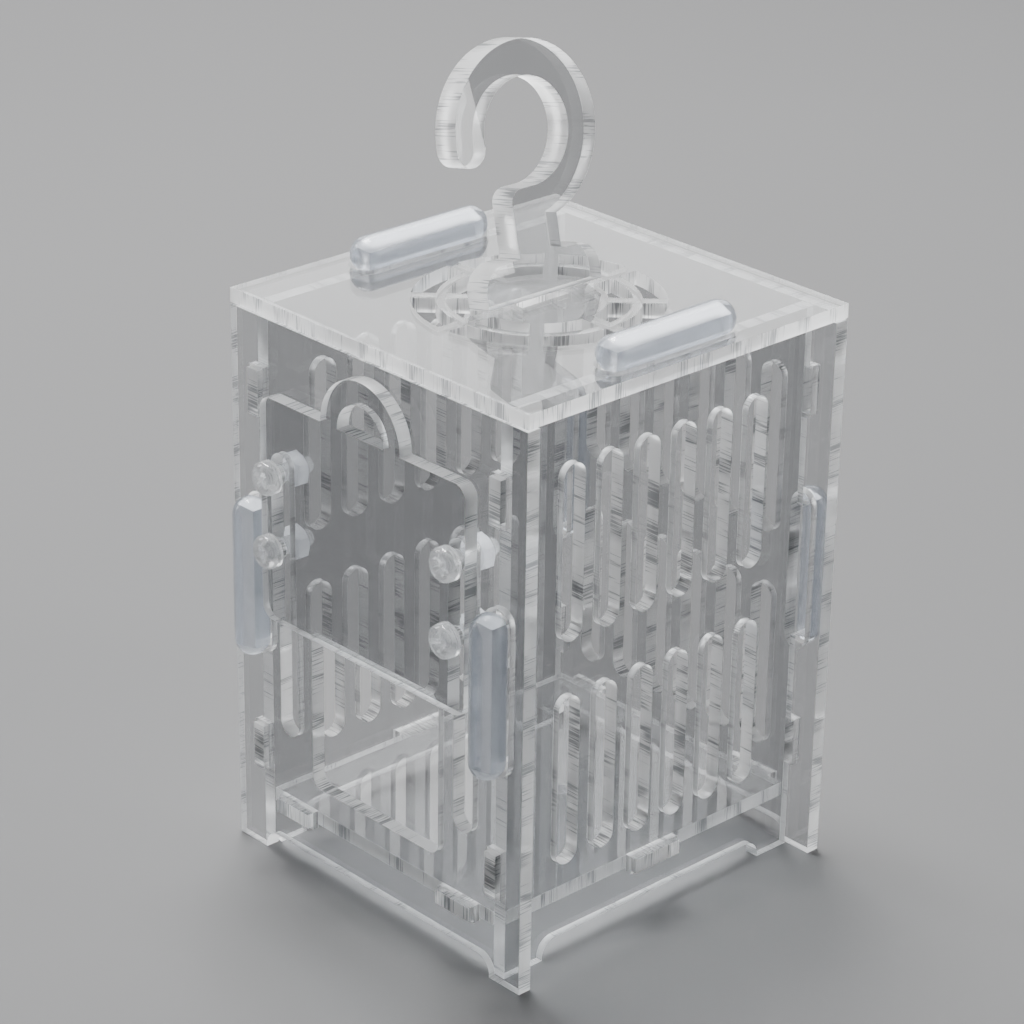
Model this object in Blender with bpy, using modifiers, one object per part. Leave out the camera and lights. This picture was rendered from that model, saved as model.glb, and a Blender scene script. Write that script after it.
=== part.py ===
"""Queen cage: clear acrylic sheets, silicone retaining strips, a sliding door and a hanging hook.

Units are metres, +Z is up, the door side faces -Y. The origin is the centre of the footprint at
the underside of the feet. Every sheet is a flat outline with its cut-outs, given the sheet's
thickness, and touching pieces keep a small gap.
"""
import math

import bpy
from mathutils import Euler, Matrix

MM = 0.001
GAP = 0.3 * MM                      # clearance between neighbouring pieces

# Box of the cage
WIDTH = 70.0 * MM                   # front and back panels, and the lid, along X
DEPTH = 70.0 * MM                   # outer faces of the front and back panels, along Y
HEIGHT = 100.0 * MM                 # feet to the top face of the lid
SHEET = 2.5 * MM                    # thickness of every acrylic sheet but the hook's
LID_UNDERSIDE = HEIGHT - SHEET
WALL_TOP = LID_UNDERSIDE - GAP
SIDE_INSET = 5.0 * MM               # how far the front and back panels pass the side panels

# Feet and the arch between them
FOOT = 7.0 * MM
ARCH_HEIGHT = 3.4 * MM
ARCH_RADIUS = 3.0 * MM

# Floor sheet
FLOOR_BOTTOM = 8.8 * MM
FLOOR_TAB = 8.0 * MM
FLOOR_TAB_X = 20.0 * MM
FLOOR_SIDE_TAB = 10.0 * MM

# Vent slots in the side and back panels: two rows of round-ended slots
VENT_WIDTH = 4.5 * MM
VENT_PITCH = 8.1 * MM
VENTS_IN_ROW = 6
VENT_ROWS = ((16.3 * MM, 46.4 * MM), (56.2 * MM, 86.4 * MM))

# Tabs of the side panels, which pass through the front and back panels and the lid
TAB_PROUD = 0.85 * MM
SMALL_TABS = ((15.5 * MM, 23.5 * MM), (80.0 * MM, 88.0 * MM))
GRIP_TAB = 24.0 * MM                # length of the tabs that the strips grip
GRIP_TAB_PROUD = 2.2 * MM
GRIP_HEIGHT = 51.5 * MM             # middle of the strips on the front and back panels

# Silicone strips: slit rods with round ends, half sunk in the sheet
STRIP_RADIUS = 3.0 * MM
STRIP_LENGTH = 28.5 * MM
STRIP_PROUD = 1.7 * MM              # from the sheet's outer face to the rod's axis
STRIP_SLOT = 5.8 * MM
STRIP_STEPS = 20
SLIT_BOTTOM = 0.8 * MM              # how far the slit passes the rod's axis

# Front panel: doorway and the two guide slots of the door
DOORWAY = (31.0 * MM, 17.0 * MM, 46.0 * MM)      # width, sill, head
DOORWAY_RADIUS = 2.0 * MM
GUIDE_X = 21.4 * MM
GUIDE_WIDTH = 4.5 * MM
GUIDE_ENDS = (24.0 * MM, 75.6 * MM)

# Door, raised
DOOR_WIDTH = 49.0 * MM
DOOR_BOTTOM = 46.2 * MM
DOOR_TOP = 85.6 * MM
DOOR_RADIUS = 2.5 * MM
HANDLE_RADIUS = 9.5 * MM
FINGER_RADIUS = 5.4 * MM

# Screws and nuts
SCREW_HEIGHTS = (59.2 * MM, 72.2 * MM)
THREAD_RADIUS = 1.45 * MM
HEAD_RADIUS = 2.9 * MM
HEAD_HEIGHT = 2.3 * MM
HEAD_ROUNDING = 0.7 * MM
SCREW_LENGTH = 12.8 * MM            # over the head
RECESS_ARM = 3.2 * MM
RECESS_WIDTH = 0.8 * MM
RECESS_DEPTH = 1.2 * MM
SCREW_STEPS = 24
NUT_FLATS = 5.6 * MM
NUT_HEIGHT = 2.3 * MM

# Lid: two rings of arc slots, each divided by eight straight bridges
RINGS = ((11.1 * MM, 15.0 * MM), (16.6 * MM, 20.6 * MM))
RINGS_X = 1.1 * MM                  # centre of the rings, a little off the lid's middle
RINGS_Y = -0.9 * MM
RING_SECTORS = 8
BRIDGE = 2.4 * MM
HANGER_SLOT = (2.8 * MM, 10.0 * MM)

# Hook: one thicker sheet standing on the lid over the hanger slot, leaning to the left
HOOK_SHEET = 4.9 * MM
HOOK_X = 0.9 * MM                   # middle of the hook's foot
HOOK_Y = -1.4 * MM
HOOK_TILT = math.radians(13)        # away from upright, towards the left
HOOK_TURN = math.radians(-1.5)      # about the upright, seen from above
FOOT_HALF = 12.0 * MM
FOOT_HEIGHT = 6.7 * MM
FOOT_ROUNDING = 4.4 * MM
STEM_HALF = 4.45 * MM
CROOK_Y = 0.5 * MM                  # centre of the crook, from the middle of the stem
CROOK_HEIGHT = 26.3 * MM
CROOK_INNER = 8.65 * MM
CROOK_OUTER = 14.5 * MM
TIP_DROP = 0.7 * MM                 # straight piece below the crook's centre, before the tip
NECK_RADIUS = 2.3 * MM

ARC_STEP = 15.0                     # degrees between the points of an arc
FINE_STEP = 7.5                     # the same, for the hook and the rings of the lid
FRONT_REACH = DEPTH / 2 + GAP + SHEET + GAP + HEAD_HEIGHT
BACK_REACH = DEPTH / 2 + STRIP_PROUD + STRIP_RADIUS
CAGE_Y = (FRONT_REACH - BACK_REACH) / 2          # the cage's centre in Y
SIDE_X = WIDTH / 2 - SIDE_INSET - SHEET / 2      # middle plane of a side panel
INNER_Y = DEPTH / 2 - SHEET - GAP                # front and back edges of a side panel


# --- outlines ------------------------------------------------------------------------------------

def arc(cx, cy, radius, start, end, step=ARC_STEP):
    """Points of an arc, angles in degrees, both ends included."""
    steps = max(2, round(abs(end - start) / step))
    angles = [math.radians(start + (end - start) * i / steps) for i in range(steps + 1)]
    return [(cx + radius * math.cos(a), cy + radius * math.sin(a)) for a in angles]


def rounded_box(x0, y0, x1, y1, radius):
    return (arc(x1 - radius, y1 - radius, radius, 0, 90)
            + arc(x0 + radius, y1 - radius, radius, 90, 180)
            + arc(x0 + radius, y0 + radius, radius, 180, 270)
            + arc(x1 - radius, y0 + radius, radius, 270, 360))


def box_outline(cx, cy, width, height):
    return [(cx - width / 2, cy - height / 2), (cx + width / 2, cy - height / 2),
            (cx + width / 2, cy + height / 2), (cx - width / 2, cy + height / 2)]


def upright_slot(x, bottom, top, width):
    return (arc(x, top - width / 2, width / 2, 0, 180)
            + arc(x, bottom + width / 2, width / 2, 180, 360))


def vent_slots():
    """The vents of one panel, centred on its middle."""
    first = -VENT_PITCH * (VENTS_IN_ROW - 1) / 2
    return [upright_slot(first + VENT_PITCH * i, bottom, top, VENT_WIDTH)
            for bottom, top in VENT_ROWS for i in range(VENTS_IN_ROW)]


def arc_slot(inner, outer, start, end):
    """A piece of a ring between two bridges whose sides are parallel."""
    def edge(radius):
        return math.degrees(math.asin(BRIDGE / 2 / radius))
    return (arc(RINGS_X, RINGS_Y, inner, start + edge(inner), end - edge(inner), FINE_STEP)
            + arc(RINGS_X, RINGS_Y, outer, end - edge(outer), start + edge(outer), FINE_STEP))


def arched_edge(half):
    """Lower edge of a panel from its left foot to its right foot."""
    inner = half - FOOT
    corner = ARCH_HEIGHT - ARCH_RADIUS
    return ([(-half, 0), (-inner, 0)]
            + arc(-inner + ARCH_RADIUS, corner, ARCH_RADIUS, 180, 90)
            + arc(inner - ARCH_RADIUS, corner, ARCH_RADIUS, 90, 0)
            + [(inner, 0), (half, 0)])


# --- objects -------------------------------------------------------------------------------------

def material(name, color, roughness, alpha):
    mat = bpy.data.materials.new(name)
    mat.use_nodes = True
    shader = mat.node_tree.nodes["Principled BSDF"]
    shader.inputs["Base Color"].default_value = (*color, 1)
    shader.inputs["Metallic"].default_value = 0
    shader.inputs["Roughness"].default_value = roughness
    shader.inputs["Alpha"].default_value = alpha
    mat.diffuse_color = (*color, alpha)
    return mat


def collection(name):
    group = bpy.data.collections.new(name)
    bpy.context.scene.collection.children.link(group)
    return group


def empty(name, group, location, parent=None):
    holder = bpy.data.objects.new(name, None)
    group.objects.link(holder)
    holder.location = location
    holder.parent = parent
    return holder


def sheet(name, outline, holes, thickness, mat, group, parent, location, rotation=(0, 0, 0)):
    """A flat sheet with cut-outs, its middle plane on the object's own XY plane."""
    curve = bpy.data.curves.new(name, "CURVE")
    curve.dimensions = "2D"
    curve.fill_mode = "BOTH"
    curve.extrude = thickness / 2
    for points in [outline] + holes:
        spline = curve.splines.new("POLY")
        spline.points.add(len(points) - 1)
        for point, (x, y) in zip(spline.points, points):
            point.co = (x, y, 0, 1)
        spline.use_cyclic_u = True
    curve.materials.append(mat)
    piece = bpy.data.objects.new(name, curve)
    group.objects.link(piece)
    piece.parent = parent
    piece.location = location
    piece.rotation_euler = rotation
    return piece


def turned(name, profile, steps, mat, group, parent, location, rotation=(0, 0, 0)):
    """A profile of (radius, height) points, top to bottom, turned about the object's Z axis."""
    mesh = bpy.data.meshes.new(name)
    mesh.from_pydata([(r, 0, z) for r, z in profile], [(i, i + 1) for i in range(len(profile) - 1)], [])
    mesh.materials.append(mat)
    piece = bpy.data.objects.new(name, mesh)
    group.objects.link(piece)
    piece.parent = parent
    piece.location = location
    piece.rotation_euler = rotation
    screw = piece.modifiers.new("turn", "SCREW")
    screw.axis = "Z"
    screw.steps = steps
    screw.render_steps = steps
    screw.use_merge_vertices = True
    screw.merge_threshold = 0.00001
    return piece


def box_cutter(name, size, group, parent, location):
    bpy.ops.mesh.primitive_cube_add(size=1)
    cutter = bpy.context.active_object
    cutter.name = name
    for vertex in cutter.data.vertices:
        vertex.co = [c * s for c, s in zip(vertex.co, size)]
    for owner in list(cutter.users_collection):
        owner.objects.unlink(cutter)
    group.objects.link(cutter)
    cutter.parent = parent
    cutter.location = location
    cutter.hide_render = True
    cutter.display_type = "WIRE"
    return cutter


def cut(piece, cutter):
    boolean = piece.modifiers.new(cutter.name, "BOOLEAN")
    boolean.operation = "DIFFERENCE"
    boolean.object = cutter


UPRIGHT_FACING_Y = (math.radians(90), 0, 0)                    # outline in X and Z
UPRIGHT_FACING_X = (math.radians(90), 0, math.radians(90))     # outline in Y and Z


# --- the cage ------------------------------------------------------------------------------------

def end_panel_holes():
    """Slots of the front and back panels for the tabs of the side panels and the floor."""
    holes = []
    for side in (-1, 1):
        x = side * SIDE_X
        holes.append(upright_slot(x, GRIP_HEIGHT - STRIP_LENGTH / 2 - GAP,
                                  GRIP_HEIGHT + STRIP_LENGTH / 2 + GAP, STRIP_SLOT))
        for bottom, top in SMALL_TABS:
            holes.append(box_outline(x, (bottom + top) / 2, SHEET + 2 * GAP, top - bottom + 2 * GAP))
        holes.append(box_outline(side * FLOOR_TAB_X, FLOOR_BOTTOM + SHEET / 2,
                                 FLOOR_TAB + 2 * GAP, SHEET + 2 * GAP))
    return holes


def end_panel_outline():
    return arched_edge(WIDTH / 2) + [(WIDTH / 2, WALL_TOP), (-WIDTH / 2, WALL_TOP)]


def front_panel(mat, group, cage):
    width, sill, head = DOORWAY
    holes = end_panel_holes()
    holes.append(rounded_box(-width / 2, sill, width / 2, head, DOORWAY_RADIUS))
    for side in (-1, 1):
        holes.append(upright_slot(side * GUIDE_X, *GUIDE_ENDS, GUIDE_WIDTH))
    sheet("front_panel", end_panel_outline(), holes, SHEET, mat, group, cage,
          (0, -DEPTH / 2 + SHEET / 2, 0), UPRIGHT_FACING_Y)


def back_panel(mat, group, cage):
    sheet("back_panel", end_panel_outline(), end_panel_holes() + vent_slots(), SHEET, mat, group, cage,
          (0, DEPTH / 2 - SHEET / 2, 0), UPRIGHT_FACING_Y)


def side_edge():
    """Back edge of a side panel, foot to top: two small tabs and the long one that a strip grips."""
    tabs = [(*SMALL_TABS[0], DEPTH / 2 + TAB_PROUD),
            (GRIP_HEIGHT - GRIP_TAB / 2, GRIP_HEIGHT + GRIP_TAB / 2, DEPTH / 2 + GRIP_TAB_PROUD),
            (*SMALL_TABS[1], DEPTH / 2 + TAB_PROUD)]
    points = []
    for bottom, top, reach in tabs:
        points += [(INNER_Y, bottom), (reach, bottom), (reach, top), (INNER_Y, top)]
    return points + [(INNER_Y, WALL_TOP)]


def side_panel(name, side, mat, group, cage):
    edge = side_edge()
    grip_top = HEIGHT + GRIP_TAB_PROUD
    top = [(GRIP_TAB / 2, WALL_TOP), (GRIP_TAB / 2, grip_top),
           (-GRIP_TAB / 2, grip_top), (-GRIP_TAB / 2, WALL_TOP)]
    outline = arched_edge(INNER_Y) + edge + top + [(-y, z) for y, z in reversed(edge)]
    floor_slot = box_outline(0, FLOOR_BOTTOM + SHEET / 2, FLOOR_SIDE_TAB + 2 * GAP, SHEET + 2 * GAP)
    sheet(name, outline, vent_slots() + [floor_slot], SHEET, mat, group, cage,
          (side * SIDE_X, 0, 0), UPRIGHT_FACING_X)


def floor_panel(mat, group, cage):
    half_x = SIDE_X - SHEET / 2 - GAP
    reach_x = SIDE_X + SHEET / 2 + TAB_PROUD
    reach_y = DEPTH / 2 + TAB_PROUD
    side_tab = FLOOR_SIDE_TAB / 2
    quarter = [(reach_x, side_tab), (half_x, side_tab), (half_x, INNER_Y),
               (FLOOR_TAB_X + FLOOR_TAB / 2, INNER_Y), (FLOOR_TAB_X + FLOOR_TAB / 2, reach_y),
               (FLOOR_TAB_X - FLOOR_TAB / 2, reach_y), (FLOOR_TAB_X - FLOOR_TAB / 2, INNER_Y)]
    half = quarter + [(-x, y) for x, y in reversed(quarter)]
    outline = half + [(x, -y) for x, y in reversed(half)]
    sheet("floor_panel", outline, [], SHEET, mat, group, cage, (0, 0, FLOOR_BOTTOM + SHEET / 2))


def lid(mat, group, holder):
    holes = []
    for inner, outer in RINGS:
        for i in range(RING_SECTORS):
            holes.append(arc_slot(inner, outer, 360 / RING_SECTORS * i, 360 / RING_SECTORS * (i + 1)))
    holes.append(box_outline(RINGS_X, RINGS_Y, *HANGER_SLOT))
    for side in (-1, 1):
        holes.append(upright_slot(side * SIDE_X, -STRIP_LENGTH / 2 - GAP, STRIP_LENGTH / 2 + GAP,
                                  STRIP_SLOT))
    sheet("lid", box_outline(0, 0, WIDTH, DEPTH), holes, SHEET, mat, group, holder, (0, 0, -SHEET / 2))


def hook(mat, group, holder):
    """A question mark standing on a foot, its crook open towards the front."""
    meet = math.degrees(math.asin(math.sqrt(1 - ((STEM_HALF - CROOK_Y) / CROOK_OUTER) ** 2)))
    tip = (CROOK_INNER + CROOK_OUTER) / 2
    neck = CROOK_HEIGHT - CROOK_INNER - NECK_RADIUS
    shoulder = FOOT_HALF - FOOT_ROUNDING
    rise = FOOT_HEIGHT - FOOT_ROUNDING
    outline = ([(-FOOT_HALF, 0), (FOOT_HALF, 0)]
               + arc(shoulder, rise, FOOT_ROUNDING, 0, 90)
               + [(STEM_HALF, FOOT_HEIGHT)]
               + arc(CROOK_Y, CROOK_HEIGHT, CROOK_OUTER, -meet, 180, FINE_STEP)
               + arc(CROOK_Y - tip, CROOK_HEIGHT - TIP_DROP, CROOK_OUTER - tip, 180, 360)
               + arc(CROOK_Y, CROOK_HEIGHT, CROOK_INNER, 180, -90, FINE_STEP)
               + arc(NECK_RADIUS - STEM_HALF, neck, NECK_RADIUS, 90, 180)
               + [(-STEM_HALF, FOOT_HEIGHT)]
               + arc(-shoulder, rise, FOOT_ROUNDING, 90, 180))
    lifted = GAP + HOOK_SHEET / 2 * math.sin(HOOK_TILT)
    turn = (Matrix.Rotation(HOOK_TURN, 3, "Z") @ Matrix.Rotation(-HOOK_TILT, 3, "Y")
            @ Euler(UPRIGHT_FACING_X).to_matrix()).to_euler()
    sheet("hook", outline, [], HOOK_SHEET, mat, group, holder, (HOOK_X, HOOK_Y, lifted), turn)


def door(mat, group, holder):
    """The sliding door, its outline measured from its own lower edge."""
    height = DOOR_TOP - DOOR_BOTTOM
    half = DOOR_WIDTH / 2
    r = DOOR_RADIUS
    outline = (arc(half - r, r, r, 270, 360) + arc(half - r, height - r, r, 0, 90)
               + arc(0, height, HANDLE_RADIUS, 0, 180)
               + arc(-half + r, height - r, r, 90, 180) + arc(-half + r, r, r, 180, 270))
    holes = [arc(0, height, FINGER_RADIUS, 0, 180)]
    for x in (-GUIDE_X, GUIDE_X):
        for z in SCREW_HEIGHTS:
            holes.append(arc(x, z - DOOR_BOTTOM, THREAD_RADIUS + GAP, 0, 360)[1:])
    sheet("door", outline, holes, SHEET, mat, group, holder, (0, 0, 0), UPRIGHT_FACING_Y)


def screw(name, x, z, mat, group, cutters, holder):
    """A cross-recess pan head screw; its own +Z points out of the head."""
    base = HEAD_HEIGHT - HEAD_ROUNDING
    dome = [(HEAD_RADIUS - HEAD_ROUNDING + px, base + pz)
            for px, pz in arc(0, 0, HEAD_ROUNDING, 90, 0)]
    profile = ([(0, HEAD_HEIGHT)] + dome
               + [(HEAD_RADIUS, 0), (THREAD_RADIUS, 0), (THREAD_RADIUS, HEAD_HEIGHT - SCREW_LENGTH),
                  (0, HEAD_HEIGHT - SCREW_LENGTH)])
    piece = turned(name, profile, SCREW_STEPS, mat, group, holder,
                   (x, -SHEET / 2 - GAP, z), UPRIGHT_FACING_Y)
    deep = 2 * RECESS_DEPTH
    for arm, size in (("a", (RECESS_ARM, RECESS_WIDTH, deep)), ("b", (RECESS_WIDTH, RECESS_ARM, deep))):
        cut(piece, box_cutter(f"{name}_recess_{arm}", size, cutters, piece, (0, 0, HEAD_HEIGHT)))


def nut(name, x, z, mat, group, holder):
    corner = NUT_FLATS / math.sqrt(3)
    hexagon = [(corner * math.sin(math.radians(60 * i)), corner * math.cos(math.radians(60 * i)))
               for i in range(6)]
    bore = arc(0, 0, THREAD_RADIUS + GAP, 0, 360)[1:]
    sheet(name, hexagon, [bore], NUT_HEIGHT, mat, group, holder,
          (x, 1.5 * SHEET + 2 * GAP + NUT_HEIGHT / 2, z), UPRIGHT_FACING_Y)


def strip(name, mat, group, cutters, parent, location, rotation):
    """A slit silicone rod along its own Z; its slit opens towards its own -Y, over the tab."""
    straight = STRIP_LENGTH / 2 - STRIP_RADIUS
    profile = [(r, straight + z) for r, z in arc(0, 0, STRIP_RADIUS, 90, 0)]
    profile += [(r, -straight + z) for r, z in arc(0, 0, STRIP_RADIUS, 0, -90)]
    profile[0] = (0, STRIP_LENGTH / 2)
    profile[-1] = (0, -STRIP_LENGTH / 2)
    piece = turned(name, profile, STRIP_STEPS, mat, group, parent, location, rotation)
    deep = 2 * STRIP_RADIUS
    cut(piece, box_cutter(f"{name}_slit", (SHEET + 2 * GAP, deep, GRIP_TAB + 2 * GAP), cutters, piece,
                          (0, SLIT_BOTTOM - deep / 2, 0)))


def strips(mat, group, cutters, cage, lid_holder):
    """Four strips on the upright tabs, and two on the tabs that pass through the lid."""
    reach = DEPTH / 2 + STRIP_PROUD
    for depth_name, facing in (("front", -1), ("back", 1)):
        turn = math.radians(180) if facing < 0 else 0
        for side_name, side in (("left", -1), ("right", 1)):
            strip(f"{depth_name}_{side_name}_strip", mat, group, cutters, cage,
                  (side * SIDE_X, facing * reach, GRIP_HEIGHT), (0, 0, turn))
    for side_name, side in (("left", -1), ("right", 1)):
        strip(f"lid_{side_name}_strip", mat, group, cutters, lid_holder,
              (side * SIDE_X, 0, STRIP_PROUD), (math.radians(90), 0, 0))


def main():
    for old in list(bpy.data.objects):
        bpy.data.objects.remove(old)
    parts = collection("queen_cage")
    cutters = collection("cutters")
    clear = material("clear_acrylic", (0.86, 0.88, 0.90), 0.05, 0.3)
    nylon = material("clear_nylon", (0.84, 0.84, 0.86), 0.15, 0.5)
    silicone = material("silicone", (0.72, 0.76, 0.86), 0.35, 0.7)

    cage = empty("cage", parts, (0, CAGE_Y, 0))
    front_panel(clear, parts, cage)
    back_panel(clear, parts, cage)
    side_panel("left_panel", -1, clear, parts, cage)
    side_panel("right_panel", 1, clear, parts, cage)
    floor_panel(clear, parts, cage)

    lid_holder = empty("lid_group", parts, (0, 0, HEIGHT), cage)
    lid(clear, parts, lid_holder)
    hook(clear, parts, lid_holder)
    strips(silicone, parts, cutters, cage, lid_holder)

    door_y = -DEPTH / 2 - GAP - SHEET / 2
    door_holder = empty("door_group", parts, (0, door_y, DOOR_BOTTOM), cage)
    door(clear, parts, door_holder)
    for side_name, x in (("left", -GUIDE_X), ("right", GUIDE_X)):
        for level, z in zip(("lower", "upper"), SCREW_HEIGHTS):
            screw(f"{side_name}_{level}_screw", x, z - DOOR_BOTTOM, nylon, parts, cutters, door_holder)
            nut(f"{side_name}_{level}_nut", x, z - DOOR_BOTTOM, nylon, parts, door_holder)


main()
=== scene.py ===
"""Looks of a queen cage: clear laser-cut sheets, silicone strips, clear screws and milky nuts."""

import math

import bmesh
import bpy
from mathutils import Matrix, Vector


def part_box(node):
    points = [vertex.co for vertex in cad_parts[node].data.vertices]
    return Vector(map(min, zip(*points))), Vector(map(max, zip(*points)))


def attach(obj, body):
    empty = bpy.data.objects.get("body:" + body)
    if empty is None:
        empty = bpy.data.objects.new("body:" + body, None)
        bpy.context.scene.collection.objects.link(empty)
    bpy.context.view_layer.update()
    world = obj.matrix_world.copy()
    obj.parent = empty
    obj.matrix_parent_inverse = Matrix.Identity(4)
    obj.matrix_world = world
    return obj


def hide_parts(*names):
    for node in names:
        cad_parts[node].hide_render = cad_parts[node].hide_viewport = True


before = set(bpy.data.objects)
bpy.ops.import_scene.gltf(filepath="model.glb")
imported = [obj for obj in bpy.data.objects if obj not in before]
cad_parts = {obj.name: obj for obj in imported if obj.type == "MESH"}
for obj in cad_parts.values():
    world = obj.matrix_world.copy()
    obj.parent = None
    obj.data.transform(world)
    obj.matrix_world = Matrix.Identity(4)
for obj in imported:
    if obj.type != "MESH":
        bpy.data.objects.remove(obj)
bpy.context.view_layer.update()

MM = 0.001
GAP = 0.3 * MM
SHEET = 2.5 * MM
EASE = 0.07 * MM                    # tiny rounding along the rims of a cut sheet
STEP = 5.0                          # degrees between the points of an arc
WELD_DISTANCE = 0.000002
SHEET_CREASE = math.radians(30)     # bends sharper than this stay sharp
ROUND_CREASE = math.radians(35)
FLAT_FACE = 0.98                    # |normal z| above which a sheet's polygon is a polished face

# Placement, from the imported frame
FRONT_LOW, FRONT_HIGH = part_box("front_panel")
BACK_LOW, BACK_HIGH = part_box("back_panel")
DOOR_LOW, DOOR_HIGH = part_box("door")
CAGE_Y = (FRONT_LOW.y + BACK_HIGH.y) / 2
WIDTH = FRONT_HIGH.x - FRONT_LOW.x
DEPTH = BACK_HIGH.y - FRONT_LOW.y
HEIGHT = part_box("lid")[1].z
WALL_TOP = FRONT_HIGH.z
SIDE_X = (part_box("right_panel")[0].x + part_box("right_panel")[1].x) / 2
INNER_Y = DEPTH / 2 - SHEET - GAP

FOOT = 7.0 * MM
ARCH_HEIGHT = 3.4 * MM
ARCH_RADIUS = 3.0 * MM
FLOOR_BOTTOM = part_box("floor_panel")[0].z
FLOOR_TAB = 8.0 * MM
FLOOR_TAB_X = 20.0 * MM             # middle of each of the floor's front and back tabs
FLOOR_SIDE_TAB = 10.0 * MM
VENT_WIDTH = 4.5 * MM
VENT_PITCH = 8.1 * MM
VENT_COLUMNS = 6
VENT_ROWS = ((16.3 * MM, 46.4 * MM), (56.2 * MM, 86.4 * MM))            # bottom and top
TAB_PROUD = 0.85 * MM
SMALL_TABS = ((15.5 * MM, 23.5 * MM), (80.0 * MM, 88.0 * MM))           # bottom and top
GRIP_TAB = 24.0 * MM                # tabs that the strips hold
GRIP_TAB_PROUD = 2.2 * MM
GRIP_HEIGHT = 51.5 * MM
STRIP_RADIUS = 3.0 * MM
STRIP_LENGTH = 28.5 * MM
STRIP_SLOT = 5.8 * MM
SLIT_BOTTOM = 0.8 * MM              # past the rod's middle, away from the slit's opening
DOORWAY = (31.0 * MM, 17.0 * MM, 46.0 * MM)                             # width, sill, head
DOORWAY_RADIUS = 2.0 * MM
GUIDE_X = 21.4 * MM
GUIDE_WIDTH = 4.5 * MM
GUIDE_ENDS = (24.0 * MM, 75.6 * MM)                                     # bottom and top
DOOR_WIDTH = DOOR_HIGH.x - DOOR_LOW.x
DOOR_BOTTOM = DOOR_LOW.z
HANDLE_RADIUS = 9.5 * MM
DOOR_HEIGHT = DOOR_HIGH.z - DOOR_LOW.z - HANDLE_RADIUS
DOOR_RADIUS = 2.5 * MM
FINGER_RADIUS = 5.4 * MM
SCREW_HEIGHTS = (59.2 * MM, 72.2 * MM)
HEAD_RADIUS = 2.9 * MM
HEAD_HEIGHT = 2.3 * MM
HEAD_ROUNDING = 1.0 * MM
HEAD_RIM = 0.12 * MM                # chamfer under the head
HEAD_MIDDLE = 0.2 * MM              # small flat in the middle of the head
RECESS_DEPTH = 1.35 * MM
RECESS_ABOVE = 0.2 * MM             # the cutter starts this far above the head
RECESS_TOP = (1.75 * MM, 0.46 * MM)     # half length and half width of each arm of the cross
RECESS_FOOT = (0.75 * MM, 0.28 * MM)
SCREW_LENGTH = 12.8 * MM
SCREW_SPIN = 23                     # degrees, so that no two crosses stand alike
SCREW_SPIN_SIDE = 71
SCREW_SPIN_ROW = 38
THREAD_RADIUS = 1.45 * MM
THREAD_DEPTH = 0.26 * MM
THREAD_PITCH = 0.5 * MM
THREAD_ROWS = 6                     # vertex rows in one turn
THREAD_CREST = 1.25                 # above 1, the crest is a narrow flat
NUT_FLATS = 5.6 * MM
NUT_HEIGHT = 2.3 * MM
NUT_CHAMFER = 0.35 * MM
NUT_FACE_INSET = 0.05 * MM
BORE_PLAY = 0.05 * MM
BORE_CHAMFER = 0.25 * MM
RINGS = ((11.1 * MM, 15.0 * MM), (16.6 * MM, 20.6 * MM))                # inner and outer radius
RINGS_X = 1.1 * MM
RINGS_Y = -0.9 * MM
RING_SECTORS = 8
BRIDGE = 2.4 * MM                   # between two slots of a ring
HANGER_SLOT = (2.8 * MM, 10.0 * MM)
HOOK_SHEET = 4.9 * MM
HOOK_X = 0.9 * MM
HOOK_Y = -1.4 * MM
HOOK_TILT = math.radians(13)        # of the whole plate, towards -X
HOOK_TURN = math.radians(-1.5)
FOOT_HALF = 12.0 * MM
FOOT_HEIGHT = 6.7 * MM
FOOT_ROUNDING = 4.4 * MM
STEM_HALF = 4.45 * MM
CROOK_Y = 0.5 * MM
CROOK_HEIGHT = 26.3 * MM
CROOK_INNER = 8.65 * MM
CROOK_OUTER = 14.5 * MM
TIP_DROP = 0.7 * MM                 # straight piece below the crook's centre, before the tip
NECK_RADIUS = 2.3 * MM

# Looks. The noise scales count per metre. The face tint is painted shade; it and the dark floor
# bring back the contrast that the object has on a black background; the real sheet is colourless.
ACRYLIC_IOR = 1.49
FACE_PAINTED_SHADE = (0.66, 0.667, 0.675)
FACE_LAMP_TINT = (0.92, 0.93, 0.935)    # what a sheet leaves of a lamp's light
HAZE_SCALE = 90
HAZE_ROUGHNESS = 0.02
STREAK_SCALE = 3800
PATCH_SCALE = 260
PATCH_WEIGHT = 1.1
EDGE_DARK_AT = 0.88
EDGE_LIGHT_AT = 1.16
EDGE_DARK_CAST = (1, 1.03, 1.08)
EDGE_ROUGHNESS = 0.3
EDGE_BUMP = (0.5, 0.0001)               # strength and distance
# Translucent share of an edge that faces up, above that of a sideways edge: painted light from
# above.
EDGE_PAINTED_TOP_LIGHT = 0.55
GRAIN_BUMP = (0.12, 0.00005)
CLOUD_DARKER = 0.9
FLOOR_DARK = (0.09, 0.09, 0.0915)
FLOOR_LIGHT = (0.095, 0.095, 0.0965)
FLOOR_ROUGHNESS = 0.85

# Studio and camera
FLOOR_REACH = 5.0
FLOOR_DROP = 0.00005                    # keeps the floor just under the feet
WORLD_COLOR = (0.93, 0.96, 1, 1)
WORLD_STRENGTH = 0.05
LAMP_TARGET = Vector((0, 0, 0.06))
LAMPS = (                               # name, azimuth, elevation, distance, size, power
    ("back_softbox", 226, 32, 1.1, (1.2, 0.7), 9),
    ("top_softbox", 250, 68, 1.0, (0.5, 0.5), 44),
    ("left_rim", 300, 22, 1.1, (0.3, 0.6), 3),
    ("right_fill", 120, 20, 1.2, (0.3, 0.8), 8),
)
SENSOR_WIDTH = 36
LENS = 121.28
CAMERA_POSITION = (0.37351, -0.35648 + CAGE_Y, 0.29724)
CAMERA_RIGHT = Vector((0.68045, 0.73266, 0.01397))
CAMERA_DOWN = Vector((0.3127, -0.27306, -0.90976))
CAMERA_AHEAD = Vector((-0.66273, 0.62341, -0.4149))

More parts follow.
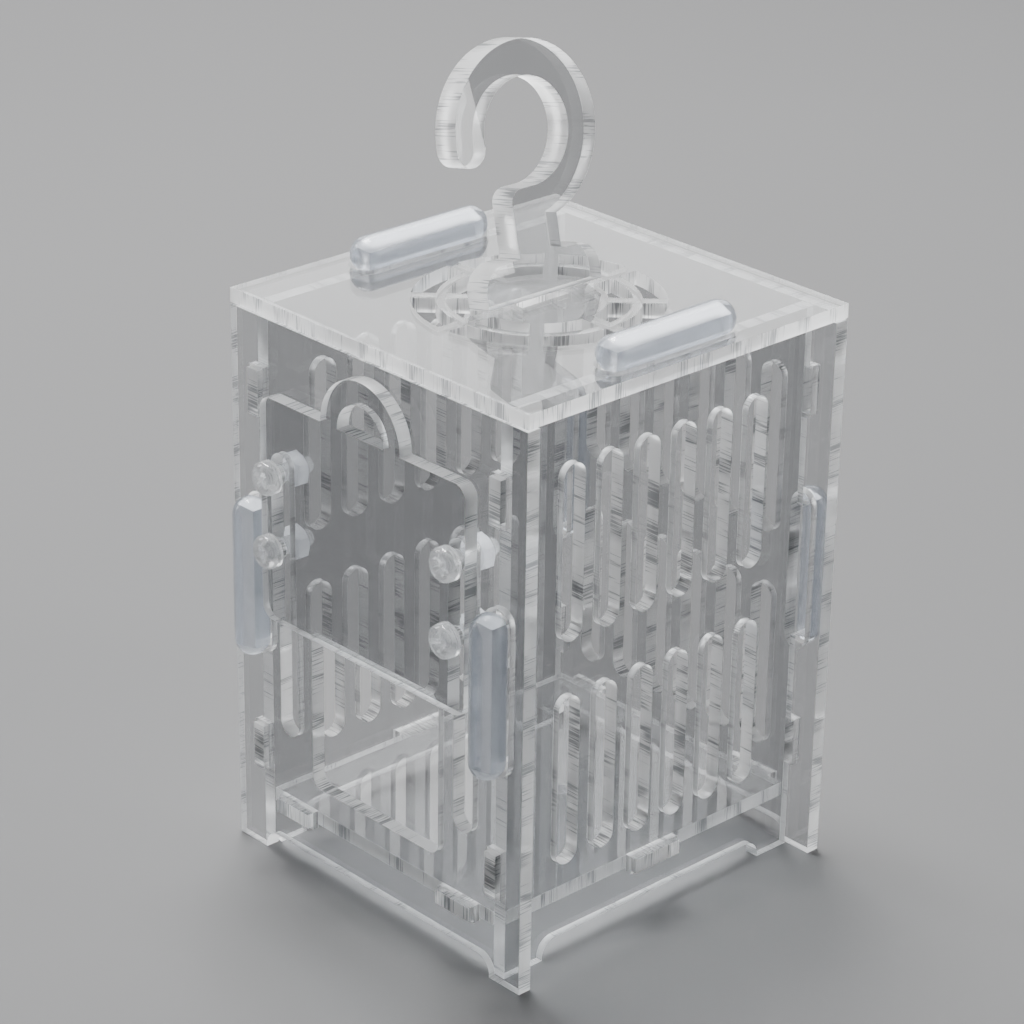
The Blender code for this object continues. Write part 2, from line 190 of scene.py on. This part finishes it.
UPRIGHT_FACING_Y = Matrix.Rotation(math.radians(90), 4, "X")
UPRIGHT_FACING_X = Matrix.Rotation(math.radians(90), 4, "Z") @ UPRIGHT_FACING_Y
FLAT = Matrix.Identity(4)


# --- material nodes ------------------------------------------------------------------------------

class Nodes:
    """A material's node tree, with short calls to add nodes and join them."""

    def __init__(self, name):
        self.material = bpy.data.materials.new(name)
        self.material.use_nodes = True
        self.tree = self.material.node_tree
        self.tree.nodes.clear()
        self.output = self.tree.nodes.new("ShaderNodeOutputMaterial")

    def add(self, kind, settings=None, **inputs):
        node = self.tree.nodes.new(kind)
        for key, value in (settings or {}).items():
            setattr(node, key, value)
        for key, value in inputs.items():
            self.put(node.inputs[key.replace("_", " ")], value)
        return node

    def put(self, socket, value):
        if isinstance(value, bpy.types.NodeSocket):
            self.tree.links.new(value, socket)
        else:
            socket.default_value = value

    def coords(self, scale):
        where = self.add("ShaderNodeTexCoord")
        mapping = self.add("ShaderNodeMapping", Vector=where.outputs["Object"])
        mapping.inputs["Scale"].default_value = scale
        return mapping.outputs["Vector"]

    def noise(self, scale, detail=2.0, stretch=(1, 1, 1), roughness=0.5):
        texture = self.add("ShaderNodeTexNoise", Vector=self.coords(stretch), Scale=scale,
                           Detail=detail, Roughness=roughness)
        return texture.outputs["Fac"]

    def ramp(self, fac, stops):
        """A colour ramp of (position, grey or colour) stops."""
        node = self.add("ShaderNodeValToRGB", Fac=fac)
        elements = node.color_ramp.elements
        while len(elements) < len(stops):
            elements.new(0.5)
        for element, (position, value) in zip(elements, stops):
            element.position = position
            color = (value,) * 3 if isinstance(value, (int, float)) else value
            element.color = (*color, 1)
        return node.outputs["Color"]

    def bump(self, height, strength, distance):
        return self.add("ShaderNodeBump", Height=height, Strength=strength,
                        Distance=distance).outputs["Normal"]

    def mix(self, fac, a, b):
        node = self.add("ShaderNodeMixShader", Fac=fac)
        self.tree.links.new(a, node.inputs[1])
        self.tree.links.new(b, node.inputs[2])
        return node.outputs[0]

    def finish(self, shader):
        self.tree.links.new(shader, self.output.inputs["Surface"])
        return self.material

    def lets_lamps_through(self, shader, tint):
        """Rays from the lamps pass straight through; everything else sees the real shader."""
        path = self.add("ShaderNodeLightPath")
        clear = self.add("ShaderNodeBsdfTransparent", Color=(*tint, 1))
        return self.mix(path.outputs["Is Shadow Ray"], shader, clear.outputs[0])


def clear_face():
    """Polished face of the sheets, with the faintest haze of handling."""
    m = Nodes("acrylic_face")
    haze = m.ramp(m.noise(HAZE_SCALE, 4), ((0.45, 0.0), (0.8, HAZE_ROUGHNESS)))
    glass = m.add("ShaderNodeBsdfPrincipled", Roughness=haze)
    # The base colour darkens all that the faces let through: painted shade standing in for a black
    # background.
    glass.inputs["Base Color"].default_value = (*FACE_PAINTED_SHADE, 1)
    glass.inputs["IOR"].default_value = ACRYLIC_IOR
    glass.inputs["Transmission Weight"].default_value = 1.0
    return m.finish(m.lets_lamps_through(glass.outputs[0], FACE_LAMP_TINT))


def cut_edge(name, dark, light, clear, upright):
    """Laser-cut edge: frosted, with fine streaks across the sheet, and painted light: whitest where
    it faces up.

    dark and light are the greys of the streaks, clear is the transmission of the frosted part,
    and upright is the translucent share of an edge that faces sideways.
    """
    m = Nodes(name)
    streaks = m.noise(STREAK_SCALE, 2, (1, 1, 0.03), 0.6)
    patches = m.noise(PATCH_SCALE, 2, (1, 1, 0.3))
    both = m.add("ShaderNodeMath", {"operation": "MULTIPLY_ADD"})
    m.put(both.inputs[0], patches)
    both.inputs[1].default_value = PATCH_WEIGHT
    m.put(both.inputs[2], streaks)
    shade = tuple(dark * cast for cast in EDGE_DARK_CAST)
    color = m.ramp(both.outputs[0], ((EDGE_DARK_AT, shade), (EDGE_LIGHT_AT, light)))
    normal = m.bump(streaks, *EDGE_BUMP)
    frost = m.add("ShaderNodeBsdfPrincipled", Base_Color=color, Normal=normal)
    frost.inputs["Roughness"].default_value = EDGE_ROUGHNESS
    frost.inputs["IOR"].default_value = ACRYLIC_IOR
    frost.inputs["Transmission Weight"].default_value = clear
    glow = m.add("ShaderNodeBsdfTranslucent", Color=color)
    # Painted light from above: the more the edge faces up, the larger its translucent share.
    facing = m.add("ShaderNodeSeparateXYZ", Vector=m.add("ShaderNodeNewGeometry").outputs["Normal"])
    painted_top_light_mask = m.add("ShaderNodeMath", {"operation": "ABSOLUTE"})
    m.put(painted_top_light_mask.inputs[0], facing.outputs["Z"])
    share = m.add("ShaderNodeMapRange", Value=painted_top_light_mask.outputs[0])
    share.inputs["To Min"].default_value = upright
    share.inputs["To Max"].default_value = EDGE_PAINTED_TOP_LIGHT
    return m.finish(m.mix(share.outputs[0], frost.outputs[0], glow.outputs[0]))


def milky(name, color, roughness, transmission, ior, translucent, grain, thin=0.5):
    """Translucent plastic or rubber: a soft see-through body with a fine grain.

    thin is what the piece leaves of a lamp's light.
    """
    m = Nodes(name)
    cloud = m.noise(grain, 3)
    darker = tuple(c * CLOUD_DARKER for c in color)
    tone = m.ramp(cloud, ((0.3, darker), (0.75, color)))
    normal = m.bump(m.noise(grain * 6, 2), *GRAIN_BUMP)
    body = m.add("ShaderNodeBsdfPrincipled", Base_Color=tone, Normal=normal)
    body.inputs["Roughness"].default_value = roughness
    body.inputs["IOR"].default_value = ior
    body.inputs["Transmission Weight"].default_value = transmission
    glow = m.add("ShaderNodeBsdfTranslucent", Color=tone)
    mixed = m.mix(translucent, body.outputs[0], glow.outputs[0])
    return m.finish(m.lets_lamps_through(mixed, (thin, thin, thin)))


def floor_material():
    m = Nodes("floor_paper")
    tone = m.ramp(m.noise(3, 2), ((0.3, FLOOR_DARK), (0.7, FLOOR_LIGHT)))
    paper = m.add("ShaderNodeBsdfPrincipled", Base_Color=tone)
    paper.inputs["Roughness"].default_value = FLOOR_ROUGHNESS
    return m.finish(paper.outputs[0])


FACE = clear_face()
EDGE = cut_edge("acrylic_cut_edge", dark=0.30, light=1.0, clear=0.72, upright=0.14)
# Slot walls: the cut edge again with darker greys and less translucency, painted shade inside the
# slots.
SHADED_WALL = cut_edge("acrylic_slot_wall_painted_shade", dark=0.14, light=0.86, clear=0.86, upright=0.03)
SILICONE = milky("silicone", (0.80, 0.835, 0.89), roughness=0.2, transmission=0.93, ior=1.41,
                 translucent=0.06, grain=500)
SCREW = milky("clear_screw", (0.96, 0.967, 0.975), roughness=0.07, transmission=0.86, ior=1.58,
              translucent=0.12, grain=900, thin=0.8)
NUT = milky("milky_nut", (0.93, 0.94, 0.97), roughness=0.3, transmission=0.7, ior=1.53,
            translucent=0.3, grain=900, thin=0.6)


# --- outlines ------------------------------------------------------------------------------------

def arc(cx, cy, radius, start, end, step=STEP):
    """Points of an arc, its angles in degrees."""
    steps = max(2, round(abs(end - start) / step))
    angles = [math.radians(start + (end - start) * i / steps) for i in range(steps + 1)]
    return [(cx + radius * math.cos(a), cy + radius * math.sin(a)) for a in angles]


def rounded_box(x0, y0, x1, y1, radius):
    return (arc(x1 - radius, y1 - radius, radius, 0, 90)
            + arc(x0 + radius, y1 - radius, radius, 90, 180)
            + arc(x0 + radius, y0 + radius, radius, 180, 270)
            + arc(x1 - radius, y0 + radius, radius, 270, 360))


def box_outline(cx, cy, width, height):
    return [(cx - width / 2, cy - height / 2), (cx + width / 2, cy - height / 2),
            (cx + width / 2, cy + height / 2), (cx - width / 2, cy + height / 2)]


def upright_slot(x, bottom, top, width):
    return (arc(x, top - width / 2, width / 2, 0, 180)
            + arc(x, bottom + width / 2, width / 2, 180, 360))


def vent_slots():
    first = -VENT_PITCH * (VENT_COLUMNS - 1) / 2
    return [upright_slot(first + VENT_PITCH * i, bottom, top, VENT_WIDTH)
            for bottom, top in VENT_ROWS for i in range(VENT_COLUMNS)]


def arc_slot(inner, outer, start, end):
    """One slot of a ring, its ends parallel to the bridges beside it."""
    def edge(radius):
        return math.degrees(math.asin(BRIDGE / 2 / radius))
    return (arc(RINGS_X, RINGS_Y, inner, start + edge(inner), end - edge(inner))
            + arc(RINGS_X, RINGS_Y, outer, end - edge(outer), start + edge(outer)))


def arched_edge(half):
    """Bottom edge of a wall: two feet with a low arch between them."""
    inner = half - FOOT
    corner = ARCH_HEIGHT - ARCH_RADIUS
    return ([(-half, 0), (-inner, 0)]
            + arc(-inner + ARCH_RADIUS, corner, ARCH_RADIUS, 180, 90)
            + arc(inner - ARCH_RADIUS, corner, ARCH_RADIUS, 90, 0)
            + [(inner, 0), (half, 0)])


# --- pieces --------------------------------------------------------------------------------------

def place(name, mesh, matrix, body, node):
    """A visible piece that rides on a body and stands in for one node of the frame."""
    piece = bpy.data.objects.new(name, mesh)
    bpy.context.scene.collection.objects.link(piece)
    piece.matrix_world = matrix
    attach(piece, body)
    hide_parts(node)
    return piece


def sheet_mesh(name, outline, holes, thickness):
    """A cut sheet about its local XY plane: polished faces, frosted edges, rims barely eased.

    The edges within a hole's bounding box get the material of the slot walls: the cut edge with
    darker greys, painted shade inside the slots.
    """
    curve = bpy.data.curves.new(name, "CURVE")
    curve.dimensions = "2D"
    curve.fill_mode = "BOTH"
    curve.extrude = thickness / 2 - EASE
    curve.bevel_depth = EASE
    curve.bevel_resolution = 1
    curve.offset = -EASE
    for points in [outline] + holes:
        spline = curve.splines.new("POLY")
        spline.points.add(len(points) - 1)
        for point, (x, y) in zip(spline.points, points):
            point.co = (x, y, 0, 1)
        spline.use_cyclic_u = True
    holder = bpy.data.objects.new(name, curve)
    bpy.context.scene.collection.objects.link(holder)
    bpy.context.view_layer.update()
    mesh = bpy.data.meshes.new_from_object(holder)
    bpy.data.objects.remove(holder)
    bpy.data.curves.remove(curve)
    weld(mesh)
    mesh.materials.clear()
    mesh.materials.append(FACE)
    mesh.materials.append(EDGE)
    mesh.materials.append(SHADED_WALL)
    slots = [(min(x for x, y in hole), min(y for x, y in hole),
              max(x for x, y in hole), max(y for x, y in hole)) for hole in holes]
    mesh.set_sharp_from_angle(angle=SHEET_CREASE)
    for polygon in mesh.polygons:
        flat = abs(polygon.normal.z) > FLAT_FACE
        x, y = polygon.center.xy
        inside = any(x0 - GAP < x < x1 + GAP and y0 - GAP < y < y1 + GAP
                     for x0, y0, x1, y1 in slots)
        polygon.material_index = 0 if flat else 2 if inside else 1
        polygon.use_smooth = not flat
    mesh.name = name
    return mesh


def weld(mesh):
    """Joins vertices that meet and turns all faces outward."""
    bm = bmesh.new()
    bm.from_mesh(mesh)
    bmesh.ops.remove_doubles(bm, verts=bm.verts, dist=WELD_DISTANCE)
    bmesh.ops.recalc_face_normals(bm, faces=bm.faces)
    bm.to_mesh(mesh)
    bm.free()


def sheet(node, outline, holes, thickness, matrix, body):
    mesh = sheet_mesh(f"{node}_clear", outline, holes, thickness)
    return place(f"{node}_clear", mesh, matrix, body, node)


def at(x, y, z, turn=FLAT):
    return Matrix.Translation((x, y, z)) @ turn


# --- sheets --------------------------------------------------------------------------------------

def end_panel_holes():
    """Holes that the front and the back panel share: for strips, side tabs and floor tabs."""
    holes = []
    for side in (-1, 1):
        x = side * SIDE_X
        holes.append(upright_slot(x, GRIP_HEIGHT - STRIP_LENGTH / 2 - GAP,
                                  GRIP_HEIGHT + STRIP_LENGTH / 2 + GAP, STRIP_SLOT))
        for bottom, top in SMALL_TABS:
            holes.append(box_outline(x, (bottom + top) / 2,
                                     SHEET + 2 * GAP, top - bottom + 2 * GAP))
        holes.append(box_outline(side * FLOOR_TAB_X, FLOOR_BOTTOM + SHEET / 2,
                                 FLOOR_TAB + 2 * GAP, SHEET + 2 * GAP))
    return holes


def end_panels():
    outline = arched_edge(WIDTH / 2) + [(WIDTH / 2, WALL_TOP), (-WIDTH / 2, WALL_TOP)]
    width, sill, head = DOORWAY
    doorway = rounded_box(-width / 2, sill, width / 2, head, DOORWAY_RADIUS)
    front_holes = end_panel_holes() + [doorway]
    for side in (-1, 1):
        front_holes.append(upright_slot(side * GUIDE_X, *GUIDE_ENDS, GUIDE_WIDTH))
    sheet("front_panel", outline, front_holes, SHEET,
          at(0, (FRONT_LOW.y + FRONT_HIGH.y) / 2, 0, UPRIGHT_FACING_Y), "cage")
    sheet("back_panel", outline, end_panel_holes() + vent_slots(), SHEET,
          at(0, (BACK_LOW.y + BACK_HIGH.y) / 2, 0, UPRIGHT_FACING_Y), "cage")


def side_panels():
    tabs = [(*SMALL_TABS[0], DEPTH / 2 + TAB_PROUD),
            (GRIP_HEIGHT - GRIP_TAB / 2, GRIP_HEIGHT + GRIP_TAB / 2, DEPTH / 2 + GRIP_TAB_PROUD),
            (*SMALL_TABS[1], DEPTH / 2 + TAB_PROUD)]
    edge = []
    for bottom, top, reach in tabs:
        edge += [(INNER_Y, bottom), (reach, bottom), (reach, top), (INNER_Y, top)]
    edge.append((INNER_Y, WALL_TOP))
    grip_top = HEIGHT + GRIP_TAB_PROUD
    crown = [(GRIP_TAB / 2, WALL_TOP), (GRIP_TAB / 2, grip_top),
             (-GRIP_TAB / 2, grip_top), (-GRIP_TAB / 2, WALL_TOP)]
    outline = arched_edge(INNER_Y) + edge + crown + [(-y, z) for y, z in reversed(edge)]
    slot = box_outline(0, FLOOR_BOTTOM + SHEET / 2, FLOOR_SIDE_TAB + 2 * GAP, SHEET + 2 * GAP)
    for node, side in (("left_panel", -1), ("right_panel", 1)):
        sheet(node, outline, vent_slots() + [slot], SHEET,
              at(side * SIDE_X, CAGE_Y, 0, UPRIGHT_FACING_X), "cage")


def floor_panel():
    half_x = SIDE_X - SHEET / 2 - GAP
    reach_x = SIDE_X + SHEET / 2 + TAB_PROUD
    reach_y = DEPTH / 2 + TAB_PROUD
    side_tab = FLOOR_SIDE_TAB / 2
    quarter = [(reach_x, side_tab), (half_x, side_tab), (half_x, INNER_Y),
               (FLOOR_TAB_X + FLOOR_TAB / 2, INNER_Y), (FLOOR_TAB_X + FLOOR_TAB / 2, reach_y),
               (FLOOR_TAB_X - FLOOR_TAB / 2, reach_y), (FLOOR_TAB_X - FLOOR_TAB / 2, INNER_Y)]
    half = quarter + [(-x, y) for x, y in reversed(quarter)]
    outline = half + [(x, -y) for x, y in reversed(half)]
    sheet("floor_panel", outline, [], SHEET, at(0, CAGE_Y, FLOOR_BOTTOM + SHEET / 2), "cage")


def lid():
    holes = [box_outline(RINGS_X, RINGS_Y, *HANGER_SLOT)]
    for inner, outer in RINGS:
        for i in range(RING_SECTORS):
            holes.append(arc_slot(inner, outer, 360 / RING_SECTORS * i,
                                  360 / RING_SECTORS * (i + 1)))
    for side in (-1, 1):
        holes.append(upright_slot(side * SIDE_X, -STRIP_LENGTH / 2 - GAP, STRIP_LENGTH / 2 + GAP,
                                  STRIP_SLOT))
    sheet("lid", box_outline(0, 0, WIDTH, DEPTH), holes, SHEET,
          at(0, CAGE_Y, HEIGHT - SHEET / 2), "lid")


def hook():
    """A question mark on a foot, leaning to -X and standing on the bottom edge of that side."""
    meet = math.degrees(math.asin(math.sqrt(1 - ((STEM_HALF - CROOK_Y) / CROOK_OUTER) ** 2)))
    tip = (CROOK_INNER + CROOK_OUTER) / 2
    neck = CROOK_HEIGHT - CROOK_INNER - NECK_RADIUS
    shoulder = FOOT_HALF - FOOT_ROUNDING
    rise = FOOT_HEIGHT - FOOT_ROUNDING
    fine = STEP / 2
    outline = ([(-FOOT_HALF, 0), (FOOT_HALF, 0)]
               + arc(shoulder, rise, FOOT_ROUNDING, 0, 90)
               + [(STEM_HALF, FOOT_HEIGHT)]
               + arc(CROOK_Y, CROOK_HEIGHT, CROOK_OUTER, -meet, 180, fine)
               + arc(CROOK_Y - tip, CROOK_HEIGHT - TIP_DROP, CROOK_OUTER - tip, 180, 360)
               + arc(CROOK_Y, CROOK_HEIGHT, CROOK_INNER, 180, -90, fine)
               + arc(NECK_RADIUS - STEM_HALF, neck, NECK_RADIUS, 90, 180)
               + [(-STEM_HALF, FOOT_HEIGHT)]
               + arc(-shoulder, rise, FOOT_ROUNDING, 90, 180))
    lifted = GAP + HOOK_SHEET / 2 * math.sin(HOOK_TILT)
    turn = (Matrix.Rotation(HOOK_TURN, 4, "Z") @ Matrix.Rotation(-HOOK_TILT, 4, "Y")
            @ UPRIGHT_FACING_X)
    sheet("hook", outline, [], HOOK_SHEET,
          at(HOOK_X, CAGE_Y + HOOK_Y, HEIGHT + lifted, turn), "lid")


def door():
    half = DOOR_WIDTH / 2
    r = DOOR_RADIUS
    outline = (arc(half - r, r, r, 270, 360) + arc(half - r, DOOR_HEIGHT - r, r, 0, 90)
               + arc(0, DOOR_HEIGHT, HANDLE_RADIUS, 0, 180)
               + arc(-half + r, DOOR_HEIGHT - r, r, 90, 180) + arc(-half + r, r, r, 180, 270))
    holes = [arc(0, DOOR_HEIGHT, FINGER_RADIUS, 0, 180)]
    for x in (-GUIDE_X, GUIDE_X):
        for z in SCREW_HEIGHTS:
            holes.append(arc(x, z - DOOR_BOTTOM, THREAD_RADIUS + GAP, 0, 360, 15)[1:])
    sheet("door", outline, holes, SHEET,
          at(0, (DOOR_LOW.y + DOOR_HIGH.y) / 2, DOOR_BOTTOM, UPRIGHT_FACING_Y), "door")


# --- screws, nuts and strips ---------------------------------------------------------------------

def loft(name, rings, material, closed_ends=True):
    """A closed tube of equally long vertex rings, smooth except at sharp bends."""
    count = len(rings[0])
    vertices = [v for ring in rings for v in ring]
    faces = []
    for r in range(len(rings) - 1):
        for i in range(count):
            j = (i + 1) % count
            faces.append((r * count + i, r * count + j, (r + 1) * count + j, (r + 1) * count + i))
    if closed_ends:
        faces.append(tuple(reversed(range(count))))
        faces.append(tuple((len(rings) - 1) * count + i for i in range(count)))
    mesh = bpy.data.meshes.new(name)
    mesh.from_pydata(vertices, [], faces)
    mesh.materials.append(material)
    weld(mesh)
    for polygon in mesh.polygons:
        polygon.use_smooth = True
    mesh.set_sharp_from_angle(angle=ROUND_CREASE)
    return mesh


def circle(radius, z, steps):
    return [(radius * math.cos(2 * math.pi * i / steps),
             radius * math.sin(2 * math.pi * i / steps), z) for i in range(steps)]


def cut_by(mesh, cutters):
    """mesh with closed cutter meshes taken out of it."""
    holder = bpy.data.objects.new("work", mesh)
    bpy.context.scene.collection.objects.link(holder)
    tools = []
    for cutter in cutters:
        tool = bpy.data.objects.new("tool", cutter)
        bpy.context.scene.collection.objects.link(tool)
        tools.append(tool)
        boolean = holder.modifiers.new("cut", "BOOLEAN")
        boolean.operation = "DIFFERENCE"
        boolean.solver = "EXACT"
        boolean.object = tool
    bpy.context.view_layer.update()
    evaluated = holder.evaluated_get(bpy.context.evaluated_depsgraph_get())
    result = bpy.data.meshes.new_from_object(evaluated)
    for item in [holder] + tools:
        bpy.data.objects.remove(item)
    for polygon in result.polygons:
        polygon.use_smooth = True
    result.set_sharp_from_angle(angle=SHEET_CREASE)
    return result


def screw_mesh():
    """Pan head with a tapered cross recess, and a cut thread; +Z points out of the head."""
    steps = 32
    rings = [circle(r, z, steps) for r, z in
             [(HEAD_MIDDLE, HEAD_HEIGHT)]
             + [(HEAD_RADIUS - HEAD_ROUNDING + x, HEAD_HEIGHT - HEAD_ROUNDING + z)
                for x, z in arc(0, 0, HEAD_ROUNDING, 90, 0, 15)]
             + [(HEAD_RADIUS, HEAD_RIM), (HEAD_RADIUS - HEAD_RIM, 0), (THREAD_RADIUS, 0)]]
    root = THREAD_RADIUS - THREAD_DEPTH
    bottom = HEAD_HEIGHT - SCREW_LENGTH
    rows = round(-bottom / THREAD_PITCH * THREAD_ROWS)
    for row in range(1, rows + 1):
        z = bottom * row / rows
        taper = min(1.0, (rows - row) / THREAD_ROWS)
        ring = []
        for i in range(steps):
            turn = i / steps
            phase = (z / THREAD_PITCH - turn) % 1.0
            crest = 1 - abs(2 * phase - 1)
            radius = root + THREAD_DEPTH * min(1.0, THREAD_CREST * crest) * taper
            ring.append((radius * math.cos(2 * math.pi * turn),
                         radius * math.sin(2 * math.pi * turn), z))
        rings.append(ring)
    body = loft("screw", rings, SCREW)
    wings = []
    for turn in (0, 90):
        top, deep = HEAD_HEIGHT + RECESS_ABOVE, HEAD_HEIGHT - RECESS_DEPTH
        spin = Matrix.Rotation(math.radians(turn), 3, "Z")
        wing = []
        for z, (arm, half) in ((top, RECESS_TOP), (deep, RECESS_FOOT)):
            wing.append([tuple(spin @ Vector(p)) for p in
                         ((arm, -half, z), (arm, half, z), (-arm, half, z), (-arm, -half, z))])
        wings.append(loft("wing", wing, SCREW))
    return cut_by(body, wings)


def nut_mesh():
    """Hexagon nut about its own XY plane, its corners chamfered, a corner pointing along +Y."""
    corner = NUT_FLATS / math.sqrt(3)
    steps = 72
    quarter = math.radians(90)
    half = NUT_HEIGHT / 2

    def hexagon(limit, z):
        ring = []
        for i in range(steps):
            a = 2 * math.pi * i / steps + quarter
            off = (a - quarter) % math.radians(60) - math.radians(30)
            radius = min(NUT_FLATS / 2 / math.cos(off), limit)
            ring.append((radius * math.cos(a), radius * math.sin(a), z))
        return ring

    def bore(radius, z):
        return [(radius * math.cos(2 * math.pi * i / steps + quarter),
                 radius * math.sin(2 * math.pi * i / steps + quarter), z) for i in range(steps)]

    inner = THREAD_RADIUS + BORE_PLAY
    mouth = inner + BORE_CHAMFER
    face = NUT_FLATS / 2 - NUT_FACE_INSET
    rings = [bore(mouth, half), hexagon(face, half),
             hexagon(corner, half - NUT_CHAMFER), hexagon(corner, -half + NUT_CHAMFER),
             hexagon(face, -half), bore(mouth, -half),
             bore(inner, -half + BORE_CHAMFER), bore(inner, half - BORE_CHAMFER),
             bore(mouth, half)]
    return loft("nut", rings, NUT, closed_ends=False)


def fasteners():
    seat_y = DOOR_LOW.y - GAP
    nut_y = FRONT_HIGH.y + GAP + NUT_HEIGHT / 2
    for index, (side, x) in enumerate((("left", -GUIDE_X), ("right", GUIDE_X))):
        for row, (level, z) in enumerate(zip(("lower", "upper"), SCREW_HEIGHTS)):
            name = f"{side}_{level}"
            degrees = SCREW_SPIN + SCREW_SPIN_SIDE * index + SCREW_SPIN_ROW * row
            spin = Matrix.Rotation(math.radians(degrees), 4, "Z")
            place(f"{name}_screw_clear", screw_mesh(), at(x, seat_y, z, UPRIGHT_FACING_Y) @ spin,
                  "door", f"{name}_screw")
            place(f"{name}_nut_milky", nut_mesh(), at(x, nut_y, z, UPRIGHT_FACING_Y),
                  "door", f"{name}_nut")


def strip_mesh():
    """A slit silicone rod along its own Z, round-ended, its slit opening towards -Y."""
    steps = 40
    straight = STRIP_LENGTH / 2 - STRIP_RADIUS
    profile = [(r, straight + z) for r, z in arc(0, 0, STRIP_RADIUS, 87, 0, 9)]
    profile += [(r, -straight + z) for r, z in arc(0, 0, STRIP_RADIUS, 0, -87, 9)]
    body = loft("strip", [circle(r, z, steps) for r, z in profile], SILICONE)
    half = SHEET / 2 + GAP
    length = GRIP_TAB / 2 + GAP
    rings = [[(half, SLIT_BOTTOM, z), (-half, SLIT_BOTTOM, z), (-half, -2 * STRIP_RADIUS, z),
              (half, -2 * STRIP_RADIUS, z)] for z in (-length, length)]
    return cut_by(body, [loft("slit", rings, SILICONE)])


def strips():
    for node in ("front_left", "front_right", "back_left", "back_right"):
        low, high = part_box(f"{node}_strip")
        facing = 180 if node.startswith("front") else 0
        y = low.y + STRIP_RADIUS if facing else high.y - STRIP_RADIUS
        turn = Matrix.Rotation(math.radians(facing), 4, "Z")
        place(f"{node}_strip_soft", strip_mesh(),
              at((low.x + high.x) / 2, y, (low.z + high.z) / 2, turn),
              f"{node}_strip", f"{node}_strip")
    for node in ("lid_left", "lid_right"):
        low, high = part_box(f"{node}_strip")
        turn = Matrix.Rotation(math.radians(90), 4, "X")
        place(f"{node}_strip_soft", strip_mesh(),
              at((low.x + high.x) / 2, (low.y + high.y) / 2, high.z - STRIP_RADIUS, turn),
              f"{node}_strip", f"{node}_strip")


# --- studio --------------------------------------------------------------------------------------

def studio():
    mesh = bpy.data.meshes.new("floor")
    reach = FLOOR_REACH
    corners = [(-reach, -reach, 0), (reach, -reach, 0), (reach, reach, 0), (-reach, reach, 0)]
    mesh.from_pydata(corners, [], [(0, 1, 2, 3)])
    mesh.materials.append(floor_material())
    floor = bpy.data.objects.new("floor", mesh)
    floor.location.z = -FLOOR_DROP
    bpy.context.scene.collection.objects.link(floor)

    world = bpy.data.worlds.new("studio")
    world.use_nodes = True
    background = world.node_tree.nodes["Background"]
    background.inputs["Color"].default_value = WORLD_COLOR
    background.inputs["Strength"].default_value = WORLD_STRENGTH
    bpy.context.scene.world = world


def lamp(name, azimuth, elevation, distance, size, power):
    """A soft lamp aimed at the cage. Azimuth 0 is on the door side, 90 on the right."""
    data = bpy.data.lights.new(name, "AREA")
    data.shape = "RECTANGLE"
    data.size, data.size_y = size
    data.energy = power
    a, e = math.radians(azimuth), math.radians(elevation)
    offset = Vector((math.sin(a) * math.cos(e), -math.cos(a) * math.cos(e), math.sin(e)))
    light = bpy.data.objects.new(name, data)
    light.location = LAMP_TARGET + distance * offset
    light.rotation_euler = (-offset).to_track_quat("-Z", "Y").to_euler()
    bpy.context.scene.collection.objects.link(light)


def camera():
    data = bpy.data.cameras.new("camera")
    data.sensor_width = SENSOR_WIDTH
    data.lens = LENS
    eye = bpy.data.objects.new("camera", data)
    turn = Matrix((CAMERA_RIGHT, -CAMERA_DOWN, -CAMERA_AHEAD)).transposed().to_4x4()
    eye.matrix_world = Matrix.Translation(CAMERA_POSITION) @ turn
    bpy.context.scene.collection.objects.link(eye)
    bpy.context.scene.camera = eye


end_panels()
side_panels()
floor_panel()
lid()
hook()
door()
fasteners()
strips()
studio()
for settings in LAMPS:
    lamp(*settings)
camera()

bpy.context.view_layer.update()
